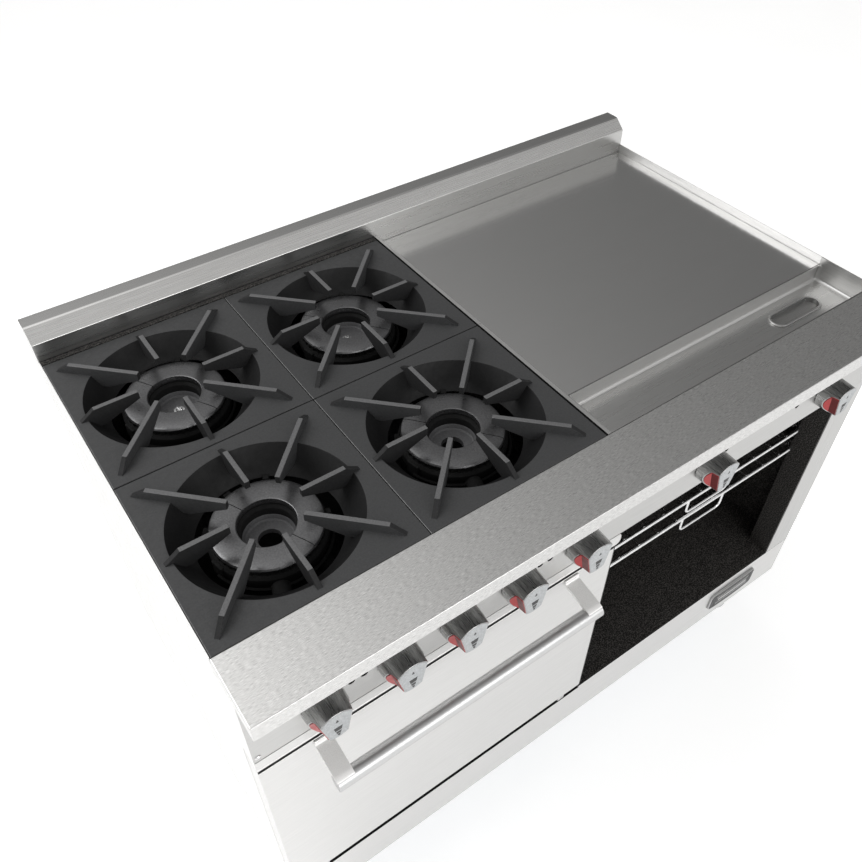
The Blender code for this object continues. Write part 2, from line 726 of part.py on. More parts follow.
clear_scene()
STEEL = material("brushed_steel", (0.62, 0.62, 0.61), 0.32, 1.0)
KNOB_STEEL = material("knob_steel", (0.35, 0.35, 0.35), 0.38, 1.0)
GRIDDLE_STEEL = material("griddle_steel", (0.34, 0.34, 0.34), 0.3, 1.0)
GALVANISED = material("galvanised_steel", (0.5, 0.52, 0.53), 0.45, 1.0)
IRON = material("cast_iron", (0.07, 0.07, 0.075), 0.62)
ENAMEL = material("black_enamel", (0.02, 0.02, 0.022), 0.3)
CHROME = material("chrome_wire", (0.75, 0.75, 0.75), 0.15, 1.0)
BRASS = material("brass", (0.7, 0.5, 0.2), 0.3, 1.0)
PIPE = material("black_pipe", (0.1, 0.1, 0.1), 0.5, 1.0)
GASKET = material("fibre_gasket", (0.3, 0.29, 0.27), 0.9)

RANGE_FRAME = empty("range_frame", (0, -(DEPTH - 18) / 2, TOP_HEIGHT))
side_panels()
back_and_base()
front_frame()
ledge_and_rail()
control_panel()
legs()
badge()
gas_manifold()
valves()
open_burners()
griddle_burners()
oven_burner()
cooktop_frame()
grates()
griddle()
oven_liner()
bay_liner()
racks()
crumb_tray()
oven_door()
door_hinges()
knobs()
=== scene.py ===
"""Looks for the commercial gas range: its pieces, their materials, a pale floor, soft light and a camera.

Lengths are in millimetres in the cooking top's own frame: x runs along the range from its middle, y runs back
from the front edge of the top ledge, and z runs up from the top of the ledge. Meshes are made in metres, and
piece() moves each one into the model's frame.
"""

import math

import bmesh
import bpy
from mathutils import Matrix, Vector

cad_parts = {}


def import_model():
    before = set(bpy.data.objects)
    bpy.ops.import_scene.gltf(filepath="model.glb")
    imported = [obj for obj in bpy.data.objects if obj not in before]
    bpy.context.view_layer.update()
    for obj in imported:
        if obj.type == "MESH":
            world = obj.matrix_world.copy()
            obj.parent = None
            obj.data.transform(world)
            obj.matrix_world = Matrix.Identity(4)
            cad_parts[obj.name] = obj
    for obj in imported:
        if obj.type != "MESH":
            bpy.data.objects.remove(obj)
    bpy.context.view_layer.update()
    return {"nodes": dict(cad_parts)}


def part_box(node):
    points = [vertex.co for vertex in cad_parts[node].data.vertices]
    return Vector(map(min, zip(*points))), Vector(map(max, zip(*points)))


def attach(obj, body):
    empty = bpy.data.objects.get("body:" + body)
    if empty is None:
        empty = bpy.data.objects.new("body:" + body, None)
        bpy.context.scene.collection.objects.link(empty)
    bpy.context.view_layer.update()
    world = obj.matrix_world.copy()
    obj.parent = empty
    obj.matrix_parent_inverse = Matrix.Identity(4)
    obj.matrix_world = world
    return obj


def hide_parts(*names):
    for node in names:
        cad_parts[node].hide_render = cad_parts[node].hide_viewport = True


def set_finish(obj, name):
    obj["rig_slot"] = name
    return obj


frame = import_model()

MM = 0.001
BODY = "range_body"
LEDGE_LOW, LEDGE_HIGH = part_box("top_ledge")
ZERO = Vector((0.0, LEDGE_LOW.y, LEDGE_HIGH.z))
HALF = LEDGE_HIGH.x / MM  # half of the range's width
SHEET = 1.5  # thickness of the casing's steel
GAP = 0.3  # room between neighbouring pieces
SMOOTH_ANGLE = math.radians(30)
CONTROLS = ("front_left", "rear_left", "rear_right", "front_right", "oven", "griddle_left", "griddle_right")
CORNERS = ("front_left", "front_right", "rear_left", "rear_right")
HANDS = ("left", "right")


def node_box(node):
    """A CAD node's lowest and highest corner, in the cooking top's frame."""
    low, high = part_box(node)
    return (low - ZERO) / MM, (high - ZERO) / MM


def centre(node):
    low, high = node_box(node)
    return (low + high) / 2


# ---- shapes ----------------------------------------------------------------------------------------


def from_bmesh(bm):
    bmesh.ops.remove_doubles(bm, verts=bm.verts, dist=1e-6)
    bmesh.ops.recalc_face_normals(bm, faces=bm.faces)
    mesh = bpy.data.meshes.new("shape")
    bm.to_mesh(mesh)
    bm.free()
    made = bpy.data.objects.new("shape", mesh)
    bpy.context.scene.collection.objects.link(made)
    return made


def prism(outline, axis, start, end):
    """An outline pushed along an axis: (y, z) points along X, (x, z) along Y, (x, y) along Z."""
    spots = {"X": (2, 0, 1), "Y": (0, 2, 1), "Z": (0, 1, 2)}[axis]
    bm = bmesh.new()
    for level in (start, end):
        corners = []
        for u, v in outline:
            values = (u, v, level)
            corners.append(bm.verts.new([values[spot] * MM for spot in spots]))
        bm.faces.new(corners)
    bm.verts.ensure_lookup_table()
    count = len(outline)
    for i in range(count):
        j = (i + 1) % count
        bm.faces.new([bm.verts[i], bm.verts[j], bm.verts[j + count], bm.verts[i + count]])
    return from_bmesh(bm)


def box(low, high):
    """A block, for cutting and joining."""
    outline = [(low[0], low[1]), (high[0], low[1]), (high[0], high[1]), (low[0], high[1])]
    return prism(outline, "Z", low[2], high[2])


def turned(profile, at_point=(0, 0, 0), axis="Z", segments=64, ring=False):
    """A profile of (radius, height) spun about an axis; heights run up Z, back along Y or right along X."""
    bm = bmesh.new()
    corners = [bm.verts.new((radius * MM, 0, height * MM)) for radius, height in profile]
    for first, second in zip(corners, corners[1:] + corners[:1] if ring else corners[1:]):
        bm.edges.new((first, second))
    bmesh.ops.spin(
        bm, geom=bm.verts[:] + bm.edges[:], cent=(0, 0, 0), axis=(0, 0, 1),
        angle=2 * math.pi, steps=segments, use_merge=True,
    )
    for vertex in bm.verts:
        x, y, z = vertex.co
        spot = {"Z": (x, y, z), "Y": (x, z, -y), "X": (z, x, y)}[axis]
        vertex.co = [spot[i] + at_point[i] * MM for i in range(3)]
    return from_bmesh(bm)


def rod(start, length, radius, axis, segments=32):
    return turned([(0, 0), (radius, 0), (radius, length), (0, length)], start, axis, segments)


def smooth_path(path, radius, closed=False, steps=6):
    """A path whose corners are rounded with short arcs."""
    points = [Vector(point) for point in path]
    count = len(points)
    made = []
    for i, point in enumerate(points):
        if not closed and i in (0, count - 1):
            made.append(point)
            continue
        before = points[i - 1] - point
        after = points[(i + 1) % count] - point
        reach = min(radius, before.length / 2, after.length / 2)
        first = point + before.normalized() * reach
        last = point + after.normalized() * reach
        for step in range(steps + 1):
            share = step / steps
            made.append(first.lerp(point, share).lerp(point.lerp(last, share), share))
    return made


def wire(path, radius, closed=False, resolution=6):
    """A round wire along a path, with flat ends."""
    curve = bpy.data.curves.new("wire", "CURVE")
    curve.dimensions = "3D"
    curve.bevel_depth = radius * MM
    curve.bevel_resolution = resolution
    curve.use_fill_caps = True
    spline = curve.splines.new("POLY")
    spline.points.add(len(path) - 1)
    for point, spot in zip(spline.points, path):
        point.co = (*[value * MM for value in spot], 1)
    spline.use_cyclic_u = closed
    guide = bpy.data.objects.new("wire", curve)
    bpy.context.scene.collection.objects.link(guide)
    mesh = bpy.data.meshes.new_from_object(guide)
    bpy.data.objects.remove(guide)
    bm = bmesh.new()
    bm.from_mesh(mesh)
    return from_bmesh(bm)


def hull(points):
    bm = bmesh.new()
    for point in points:
        bm.verts.new([value * MM for value in point])
    bmesh.ops.convex_hull(bm, input=bm.verts)
    return from_bmesh(bm)


def rounded(low, high, radius, steps=8):
    """The outline of a rectangle whose corners are arcs."""
    outline = []
    corners = (
        (high[0] - radius, high[1] - radius), (low[0] + radius, high[1] - radius),
        (low[0] + radius, low[1] + radius), (high[0] - radius, low[1] + radius),
    )
    for quarter, (u, v) in enumerate(corners):
        for step in range(steps + 1):
            angle = math.pi / 2 * (quarter + step / steps)
            outline.append((u + radius * math.cos(angle), v + radius * math.sin(angle)))
    return outline


def applied(part):
    """Makes a part's modifiers part of its mesh."""
    graph = bpy.context.evaluated_depsgraph_get()
    mesh = bpy.data.meshes.new_from_object(part.evaluated_get(graph))
    part.modifiers.clear()
    part.data = mesh
    return part


def combine(target, tools, operation):
    for tool in tools:
        modifier = target.modifiers.new("Boolean", "BOOLEAN")
        modifier.operation = operation
        modifier.object = tool
    applied(target)
    for tool in tools:
        bpy.data.objects.remove(tool)
    return target


def joined(target, *tools):
    return combine(target, tools, "UNION")


def cut(target, *tools):
    return combine(target, tools, "DIFFERENCE")


def merged(target, *others):
    """One mesh from several, left as they are."""
    bm = bmesh.new()
    for part in (target, *others):
        bm.from_mesh(part.data)
    bm.to_mesh(target.data)
    bm.free()
    for part in others:
        bpy.data.objects.remove(part)
    return target


def eased(part, width, segments=2, angle=35):
    """Rounds a part's sharp edges."""
    bevel = part.modifiers.new("Bevel", "BEVEL")
    bevel.width = width * MM
    bevel.segments = segments
    bevel.limit_method = "ANGLE"
    bevel.angle_limit = math.radians(angle)
    return applied(part)


def painted(part, looks, pick):
    """Gives a part several looks. pick takes a face's centre and normal and tells which look it gets."""
    part.data.materials.clear()
    for look in looks:
        part.data.materials.append(look)
    for face in part.data.polygons:
        face.material_index = int(pick(face.center / MM, face.normal))
    return part


def folded_box(low, high, radius, open_side):
    """A sheet metal box with bends of that radius and one open side, such as "-Z" or "+Y"."""
    spot = "XYZ".index(open_side[1])
    outward = 1 if open_side[0] == "+" else -1
    outer_low = list(low)
    outer_high = list(high)
    inner_low = [value + SHEET for value in low]
    inner_high = [value - SHEET for value in high]
    clear = 50
    trim_low = [value - clear for value in low]
    trim_high = [value + clear for value in high]
    longer = 4 * radius
    if outward > 0:
        outer_high[spot] += longer
        inner_high[spot] += 2 * clear
        trim_low[spot] = high[spot]
    else:
        outer_low[spot] -= longer
        inner_low[spot] -= 2 * clear
        trim_high[spot] = low[spot]
    shell = eased(box(outer_low, outer_high), radius, 4)
    return cut(shell, box(inner_low, inner_high), box(trim_low, trim_high))


def shade(part):
    """Smooths a part's curves; flat faces stay flat up to their rounded edges."""
    part.data.shade_smooth()
    part.data.set_sharp_from_angle(angle=SMOOTH_ANGLE)
    part.modifiers.new("Normals", "WEIGHTED_NORMAL").keep_sharp = True
    applied(part)


def piece(part, name, look, slot, body=BODY, replaces=(), place=(0, 0, 0), turn=None):
    """Puts a finished shape in the model: its name, look, body and the CAD nodes it stands for.

    A part with several looks has been painted already, and its look is None. A part that is in the model
    already is put in once more, sharing its mesh.
    """
    if "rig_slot" in part:
        part = bpy.data.objects.new(name, part.data)
        bpy.context.scene.collection.objects.link(part)
    else:
        part.name = name
        part.data.name = name
        if look is not None:
            part.data.materials.clear()
            part.data.materials.append(look)
        shade(part)
    part.matrix_world = Matrix.Translation(ZERO + Vector(place) * MM) @ (turn or Matrix.Identity(4))
    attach(part, body)
    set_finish(part, slot)
    if replaces:
        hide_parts(*replaces)
    return part


# ---- materials -------------------------------------------------------------------------------------


class Surface:
    """A Principled material whose colour, roughness and bump come from procedural textures."""

    def __init__(self, name, colour, roughness, metallic=0.0, specular=0.5):
        self.material = bpy.data.materials.new(name)
        self.material.use_nodes = True
        self.tree = self.material.node_tree
        self.shader = self.tree.nodes["Principled BSDF"]
        self.colour = colour
        self.shader.inputs["Base Color"].default_value = (*colour, 1)
        self.shader.inputs["Roughness"].default_value = roughness
        self.shader.inputs["Metallic"].default_value = metallic
        self.shader.inputs["Specular IOR Level"].default_value = specular

    def link(self, output, socket):
        self.tree.links.new(output, socket)

    def noise(self, grain, stretch=(1, 1, 1), detail=3.0):
        """Noise whose grains are about that many millimetres, drawn out by stretch."""
        place = self.tree.nodes.new("ShaderNodeTexCoord")
        mapping = self.tree.nodes.new("ShaderNodeMapping")
        mapping.inputs["Scale"].default_value = [1 / (grain * MM * value) for value in stretch]
        self.link(place.outputs["Object"], mapping.inputs["Vector"])
        texture = self.tree.nodes.new("ShaderNodeTexNoise")
        texture.inputs["Scale"].default_value = 1.0
        texture.inputs["Detail"].default_value = detail
        self.link(mapping.outputs["Vector"], texture.inputs["Vector"])
        return texture.outputs["Fac"]

    def spread(self, source, low, high, start=0.3, end=0.7):
        """Takes a source's middle range, from start to end, to the range from low to high."""
        reach = self.tree.nodes.new("ShaderNodeMapRange")
        reach.inputs["From Min"].default_value = start
        reach.inputs["From Max"].default_value = end
        reach.inputs["To Min"].default_value = low
        reach.inputs["To Max"].default_value = high
        self.link(source, reach.inputs["Value"])
        return reach.outputs["Result"]

    def roughen(self, source, low, high):
        self.link(self.spread(source, low, high), self.shader.inputs["Roughness"])
        return self

    def tint(self, source, low, high):
        """Moves the colour between two shares of itself."""
        mix = self.tree.nodes.new("ShaderNodeMix")
        mix.data_type = "RGBA"
        mix.inputs["A"].default_value = (*[value * low for value in self.colour], 1)
        mix.inputs["B"].default_value = (*[min(value * high, 1) for value in self.colour], 1)
        self.link(self.spread(source, 0, 1), mix.inputs["Factor"])
        self.link(mix.outputs["Result"], self.shader.inputs["Base Color"])
        return self

    def bump(self, source, depth):
        """Relief of that depth in millimetres."""
        node = self.tree.nodes.new("ShaderNodeBump")
        node.inputs["Strength"].default_value = 1.0
        node.inputs["Distance"].default_value = depth * MM
        self.link(source, node.inputs["Height"])
        self.link(node.outputs["Normal"], self.shader.inputs["Normal"])
        return self


def brushed(name, colour, low, high, along="X", depth=0.02, shift=0.08, grain=0.55, drawn=60):
    """Steel rubbed along one axis: long fine streaks in its roughness, colour and relief."""
    made = Surface(name, colour, (low + high) / 2, 1.0)
    stretch = {"X": (drawn, 1, 1), "Y": (1, drawn, 1), "Z": (1, 1, drawn)}[along]
    fine = made.noise(grain, stretch, 4)
    made.roughen(made.noise(2.2, stretch, 3), low, high)
    made.tint(fine, 1 - shift, 1 + shift)
    made.bump(fine, depth)
    return made.material


def cast(name, colour, low, high, grain=0.9, depth=0.12, metallic=0.0, specular=0.5):
    """A cast, moulded or dipped surface: fine grain in its relief, broad patches in its colour and gloss."""
    made = Surface(name, colour, (low + high) / 2, metallic, specular)
    skin = made.noise(grain, detail=5)
    made.roughen(made.noise(9, detail=4), low, high)
    made.tint(made.noise(2.5, detail=6), 0.8, 1.2)
    made.bump(skin, depth)
    return made.material


def enamel(name, colour, low, high):
    """Enamel with pale specks of a few millimetres."""
    made = Surface(name, colour, (low + high) / 2, specular=0.25)
    speckle = made.noise(2.2, detail=2)
    made.roughen(made.noise(6, detail=3), low, high)
    made.tint(made.spread(speckle, 0.3, 0.7, 0.45, 0.65), 0.3, 5)
    made.bump(speckle, 0.03)
    return made.material


SATIN = {"depth": 0.008, "shift": 0.05}  # the finer brushing of the front's upright sheets
STEEL = brushed("steel_brushed", (0.66, 0.655, 0.645), 0.2, 0.34)
STEEL_TOP = brushed("steel_brushed_top", (0.6, 0.596, 0.588), 0.12, 0.18, depth=0.006, shift=0.05)
STEEL_LEDGE = brushed(
    "steel_brushed_ledge", (0.61, 0.606, 0.597), 0.26, 0.36, depth=0.025, shift=0.34, grain=0.5, drawn=14,
)
# Dark steel: the badge bevel's own colour, and painted shade on the ledge's inner faces, the griddle plate's
# front and the door's top edge
STEEL_DARK_AND_SHADE = brushed("steel_dark_and_shade", (0.16, 0.16, 0.16), 0.5, 0.65)
STEEL_PANEL = brushed("steel_brushed_panel", (0.5, 0.498, 0.49), 0.32, 0.44, **SATIN)
STEEL_FRONT = brushed("steel_brushed_front", (0.64, 0.636, 0.628), 0.32, 0.44, **SATIN)
STEEL_SOFT = brushed("steel_brushed_soft", (0.5, 0.498, 0.49), 0.26, 0.34, depth=0.003, shift=0.04)
STEEL_SIDE = brushed("steel_brushed_side", (0.4, 0.398, 0.392), 0.3, 0.42, "Y", depth=0.01, shift=0.12)
STEEL_GUARD = brushed("steel_brushed_guard", (0.72, 0.717, 0.71), 0.38, 0.5, "Y", depth=0.01, shift=0.1)
# A brighter steel for the trough's rear walls: painted sheen
STEEL_WALL_LIT = brushed("steel_brushed_wall_lit", (0.68, 0.676, 0.668), 0.5, 0.6, depth=0.005, shift=0.04)
STEEL_STRAP = brushed("steel_brushed_strap", (0.86, 0.855, 0.845), 0.55, 0.68, "Z", depth=0.01, shift=0.1)
STEEL_STILE = brushed("steel_brushed_stile", (0.5, 0.498, 0.49), 0.26, 0.4, "Z", **SATIN)
STEEL_UPRIGHT = brushed("steel_brushed_upright", (0.66, 0.655, 0.645), 0.22, 0.36, "Z")
STEEL_DEEP = brushed("steel_brushed_deep", (0.56, 0.556, 0.55), 0.34, 0.46, "Y", depth=0.012)
STEEL_KNOB = brushed("steel_knob", (0.4, 0.4, 0.395), 0.2, 0.42, "Y", depth=0.02, shift=0.35)
STEEL_GRIDDLE = brushed("steel_griddle", (0.6, 0.597, 0.59), 0.16, 0.22, depth=0.006, shift=0.03)
STEEL_PLAIN = brushed("steel_plain", (0.5, 0.5, 0.5), 0.3, 0.45, "Z")
GALVANISED = cast("galvanised", (0.5, 0.52, 0.54), 0.35, 0.55, grain=14, depth=0.02, metallic=1)
IRON = cast("grate_iron", (0.033, 0.0335, 0.0345), 0.52, 0.68)
# Copies of the grate iron that paint light: the darker bowl and finger sides are painted shade, the lighter
# finger tops and plate edges painted highlights
IRON_BOWL_SHADE = cast("grate_iron_bowl_shade", (0.008, 0.008, 0.0083), 0.5, 0.66, grain=1.6, specular=0.25)
IRON_TOP_LIT = cast("grate_iron_top_lit", (0.1, 0.1, 0.102), 0.45, 0.6)
IRON_EDGE_HIGHLIGHT = cast("grate_iron_edge_highlight", (0.2, 0.2, 0.2), 0.35, 0.5, grain=0.6, depth=0.02)
IRON_SIDE_SHADE = cast("grate_iron_side_shade", (0.016, 0.016, 0.0165), 0.6, 0.75, specular=0.25)
IRON_DARK = cast("grate_iron_dark", (0.018, 0.018, 0.019), 0.6, 0.8)
BURNER = cast("burner_iron", (0.14, 0.14, 0.143), 0.26, 0.36, grain=3, depth=0.012, metallic=0.9)
BURNER_PALE = cast("burner_iron_pale", (0.09, 0.09, 0.093), 0.5, 0.65, grain=0.9, depth=0.1)
BLACK = enamel("black_enamel", (0.017, 0.016, 0.015), 0.4, 0.6)
CHROME = cast("chrome", (0.72, 0.72, 0.72), 0.12, 0.26, grain=0.5, depth=0.004, metallic=1)
BRASS = cast("brass", (0.66, 0.47, 0.2), 0.25, 0.4, grain=0.8, depth=0.02, metallic=1)
PIPE = cast("black_pipe", (0.05, 0.05, 0.05), 0.4, 0.6)
GASKET = cast("gasket", (0.32, 0.31, 0.28), 0.85, 0.95, grain=1.5, depth=0.6)
RED = cast("red_enamel", (0.36, 0.016, 0.018), 0.28, 0.42, grain=0.7, depth=0.02)
# A darker copy of the red: painted shade on the flat sides of the knobs' linings
RED_SHADED = cast("red_enamel_shaded", (0.12, 0.006, 0.007), 0.35, 0.5, grain=0.7, depth=0.02)
FACE = cast("knob_face", (0.36, 0.372, 0.38), 0.4, 0.5, grain=0.5, depth=0.01)
INK = cast("mark_ink", (0.02, 0.02, 0.02), 0.4, 0.6)
# Near-black: the burners' own sooty iron, and painted shade on the pilot cups, the bottom rail's top flanges,
# the strip's left face and the crumb tray behind its front plate
SOOT_AND_SHADE = cast("soot_and_shade", (0.006, 0.006, 0.006), 0.75, 0.9, specular=0.25)


# ---- casing ----------------------------------------------------------------------------------------


def ledge():
    """The deep front ledge; its inner faces are painted dark, as painted shade under the ledge."""
    low, high = node_box("top_ledge")

    def pick(spot, normal):
        depth = min(spot.y - low.y, high.y - spot.y, -spot.z, spot.x - low.x, high.x - spot.x)
        # inner faces take the dark steel: painted shade
        return depth > SHEET - 0.2

    part = painted(folded_box(low, high, 1.6, "-Z"), (STEEL_LEDGE, STEEL_DARK_AND_SHADE), pick)
    piece(part, "ledge_skin", None, "brushed_steel", replaces=("top_ledge",))


def back_rail():
    """The low rail: an upright face, a chamfer and a flat top, folded from one sheet."""
    low, high = node_box("back_rail")
    plate_low, plate_high = node_box("griddle_plate")
    face = plate_high.y + GAP
    outline = [(face, 0), (face, 31), (733, 49.2), (737, high.z), (high.y, high.z), (high.y, 0)]
    path = [(0, u, v) for u, v in outline]
    eased_path = smooth_path(path, 0.9, steps=2)
    body = prism([(point.y, point.z) for point in eased_path], "X", low.x, high.x)
    core = [
        (face + SHEET, -1), (face + SHEET, 30.3), (733.6, 47.8), (high.y - SHEET, 48.4), (high.y - SHEET, -1),
    ]
    body = cut(body, prism(core, "X", low.x + SHEET, high.x - SHEET))
    wall = box((plate_low.x, face, plate_high.z - 4), (HALF - 1.8, face + SHEET, 1))

    def pick(spot, normal):
        if normal.z > 0.9 and spot.z > 40:
            return 1
        return 2 if normal.y < -0.9 or spot.z < 20 else 0

    rail = painted(eased(joined(body, wall), 0.35, 1, 60), (STEEL, STEEL_TOP, STEEL_SOFT), pick)
    piece(rail, "back_rail_skin", None, "brushed_steel", replaces=("back_rail",))


def side_panels():
    """The side panels keep the CAD's shape, with softened edges."""
    for hand, inward in zip(HANDS, (1, -1)):
        node = f"{hand}_side_panel"
        part = frame["nodes"][node]
        skin = bpy.data.objects.new("skin", part.data.copy())
        bpy.context.scene.collection.objects.link(skin)
        bm = bmesh.new()
        bm.from_mesh(skin.data)
        bmesh.ops.remove_doubles(bm, verts=bm.verts, dist=1e-5)
        bmesh.ops.dissolve_limit(bm, angle_limit=0.01, verts=bm.verts, edges=bm.edges)
        bm.to_mesh(skin.data)
        bm.free()
        skin.data.transform(Matrix.Translation(-ZERO))
        skin = painted(
            eased(skin, 0.4, 2), (STEEL_UPRIGHT, STEEL_GUARD),
            lambda spot, normal: normal.x * inward > 0.3 or normal.z > 0.9,
        )
        piece(skin, f"{node}_skin", None, "brushed_steel", replaces=(node,))


# The small holes in the panel that the pilots are set through
PILOT_HOLES = (-467.0, -448.0, -160.0, -142.0, 161.0, 222.0, 395.0, 449.0)
PILOT_Z = -121.5
PILOT_RADIUS = 5.4


def control_panel():
    """The upright panel, with its holes; behind each small one, where a pilot's adjuster sits, a near-black
    cup is painted shade in the hole.
    """
    low, high = node_box("control_panel")
    inside = HALF - SHEET - GAP
    front = low.y
    step = -30  # above this height the panel is narrower, to pass inside the ledge
    outline = [
        (-HALF, low.z), (HALF, low.z), (HALF, step), (inside, step), (inside, high.z),
        (-inside, high.z), (-inside, step), (-HALF, step),
    ]
    plate = prism(outline, "Y", front, front + SHEET)
    flange = box((-inside, front + 1, low.z), (inside, high.y, low.z + SHEET))
    holes = []
    for name in CONTROLS:
        spot = centre(f"knob_{name}")
        holes.append(rod((spot.x, front - 2, spot.z), 6, 7, "Y"))
    for x in PILOT_HOLES:
        holes.append(rod((x, front - 2, PILOT_Z), 6, PILOT_RADIUS, "Y"))
    panel = eased(cut(joined(plate, flange), *holes), 0.4, 2, 50)
    piece(panel, "control_panel_skin", STEEL_PANEL, "brushed_steel", replaces=("control_panel",))
    # Each cup is near-black: painted shade inside its pilot hole
    profile = [(PILOT_RADIUS, -0.6), (PILOT_RADIUS, 14), (0, 14), (0, 12), (4.6, 12), (4.6, -0.6)]
    for i, x in enumerate(PILOT_HOLES):
        well = turned(profile, axis="Y", segments=32)
        piece(well, f"pilot_shade_well_{i}", SOOT_AND_SHADE, "brass", place=(x, front + 1, PILOT_Z))


def front_frame():
    """The rail under the door and the bay, and the stile at the bay's right."""
    low, high = node_box("bottom_front_rail")
    inside = HALF - SHEET - GAP
    pieces = []
    for start, end, top in ((-HALF, 1, high.z - 5), (-1, HALF, high.z)):
        pieces.append(box((start, low.y, low.z), (end, low.y + SHEET, top)))
        flange_low = (max(start, -inside), low.y + 0.5, top - SHEET)
        pieces.append(box(flange_low, (min(end, inside), high.y, top)))
    rail = eased(joined(*pieces), 0.5, 2, 50)
    # the top flanges are near-black: painted shade in the gaps above the rail
    rail = painted(rail, (STEEL_FRONT, SOOT_AND_SHADE), lambda spot, normal: normal.z > 0.9)
    piece(rail, "bottom_rail_skin", None, "brushed_steel", replaces=("bottom_front_rail",))
    low, high = node_box("right_stile")
    post = joined(
        box((low.x, low.y, low.z), (high.x, low.y + SHEET, high.z)),
        box((low.x, low.y + 0.5, low.z), (low.x + SHEET, high.y, high.z)),
    )
    post = eased(post, 0.5, 2, 50)
    piece(post, "right_stile_skin", STEEL_STILE, "brushed_steel", replaces=("right_stile",))


def domed_screws():
    """Slotted screws at the ends of the panel and round the back."""
    profile = [(0, -2.4), (1.6, -2.3), (3.2, -1.7), (4.1, -0.7), (4.3, 0), (0, 0)]
    head = cut(turned(profile, axis="Y", segments=24), box((-3, -4, -0.5), (3, -1.6, 0.5)))
    back = 758.7
    edge = 590.0
    spots = [(side * 603.0, 45.9, -163.0, 0) for side in (-1, 1)]
    for x in (-edge, -300, 0, 300, edge):
        for z in (-60.0, -745.0):
            spots.append((x, back, z, math.pi))
    for z in (-250, -450, -640):
        for side in (-1, 1):
            spots.append((side * edge, back, z, math.pi))
    for i, (x, y, z, angle) in enumerate(spots):
        turn = Matrix.Rotation(angle, 4, "Z")
        piece(head, f"casing_screw_{i}", CHROME, "chrome_wire", place=(x, y, z), turn=turn)


def badge():
    """A plate with a dark border and three plain raised bars, arched across its width."""
    low, high = node_box("badge")
    width = high.x - low.x
    height = high.z - low.z
    proud = high.y - low.y
    middle = ((low.x + high.x) / 2, high.y, low.z)

    def pillow(inset, front_proud, back):
        half = width / 2 - inset
        front = []
        for step in range(33):
            share = step / 32 * 2 - 1
            front.append((share * half, -front_proud * math.sqrt(1 - 0.5 * share * share)))
        part = prism(front + [(half, back), (-half, back)], "Z", inset, height - inset)
        return cut(part, *corner_cutters(half, inset, height - inset, 10 - inset))

    rim = eased(pillow(0, proud - 0.6, 0), 0.5, 2, 50)
    piece(rim, "badge_rim", STEEL_PLAIN, "brushed_steel", replaces=("badge",), place=middle)
    piece(pillow(1.8, proud - 0.45, -1), "badge_border", INK, "brushed_steel", place=middle)
    bevel = eased(pillow(6, proud - 0.3, -1), 0.4, 2, 50)
    piece(bevel, "badge_bevel", STEEL_DARK_AND_SHADE, "brushed_steel", place=middle)
    plate = eased(pillow(8.6, proud - 0.2, -1), 0.3, 2, 50)
    piece(plate, "badge_plate", INK, "brushed_steel", place=middle)
    bars = []
    for low_z, high_z, reach in ((14, 16.5, 50), (21, 29, 44), (33.5, 36, 50)):
        front = []
        for step in range(25):
            x = (step / 12 - 1) * reach
            front.append((x, -(proud - 0.2) * math.sqrt(1 - 0.5 * (x / (width / 2)) ** 2) - 0.2))
        bars.append(prism(front + [(reach, -1), (-reach, -1)], "Z", low_z, high_z))
    piece(merged(*bars), "badge_bars", STEEL_KNOB, "brushed_steel", place=middle)


def corner_cutters(half, bottom, top, radius):
    """Four blocks that leave a plate in the x-z plane with rounded corners."""
    cutters = []
    for side in (-1, 1):
        for edge, inward in ((bottom, 1), (top, -1)):
            outline = [(side * (half + 5), edge - inward * 5), (side * (half + 5), edge + inward * radius)]
            for step in range(9):
                angle = math.pi / 2 * step / 8
                x = half - radius + radius * math.cos(angle)
                z = edge + inward * (radius - radius * math.sin(angle))
                outline.append((side * x, z))
            outline.append((side * (half - radius), edge - inward * 5))
            cutters.append(prism(outline, "Y", -30, 30))
    return cutters


# ---- knobs -----------------------------------------------------------------------------------------

KNOB_RADIUS = 28.5
KNOB_LENGTH = 36.5
LINING = 0.8  # thickness of the red linings
MARK = 0.42  # thickness of the printed marks, with what is sunk in the face
SCOOP_TOP = Vector((23.0, 17.5))
SCOOP_BOTTOM = Vector((13.0, -26.5))


def scoop(side, grow):
    """The wedge that hollows one side of a knob's front, made larger by grow."""
    along = (SCOOP_TOP - SCOOP_BOTTOM).normalized()
    outward = Vector((along.y, -along.x))
    rows = (
        (-grow, 40, 6 + grow), (2.3 - grow, 23.7 - grow, grow - 4),
        (14, 12.3 - grow, grow - 6), (14, 40, 6 + grow),
    )
    points = []
    for inset, forward, spare in rows:
        for start, reach in ((SCOOP_TOP, spare), (SCOOP_BOTTOM, -8 - grow)):
            spot = start + along * reach + outward * inset
            points.append((side * spot.x, -forward, spot.y))
    return hull(points)


def knob_blank(shrink=0.0):
    """A whole knob with its stem, before the scoops, made smaller by shrink."""
    outer = KNOB_RADIUS - shrink
    front = shrink - KNOB_LENGTH
    profile = [
        (0, 6), (5, 6), (5, -GAP), (outer + 0.9, -GAP), (outer + 1.6, -0.9), (outer + 1.4, -6),
        (outer, front + 3), (outer - 0.3, front + 0.5), (outer - 0.8, front), (0, front),
    ]
    return turned(profile, axis="Y", segments=96)


def knob_liner(side):
    """The red lining of one scoop; its flat sides take the darker red, as painted shade."""
    wedge = scoop(side, LINING)
    liner = cut(combine(wedge, [knob_blank(1.1)], "INTERSECT"), scoop(side, 0))
    return painted(liner, (RED, RED_SHADED), lambda spot, normal: abs(normal.x) > 0.9)


def knob_face():
    """The pale plate on a knob's front."""
    blank = rod((0, -KNOB_LENGTH - 0.25, 0), 1.0, KNOB_RADIUS - 1.7, "Y", 96)
    return cut(blank, scoop(1, 1.5), scoop(-1, 1.5))


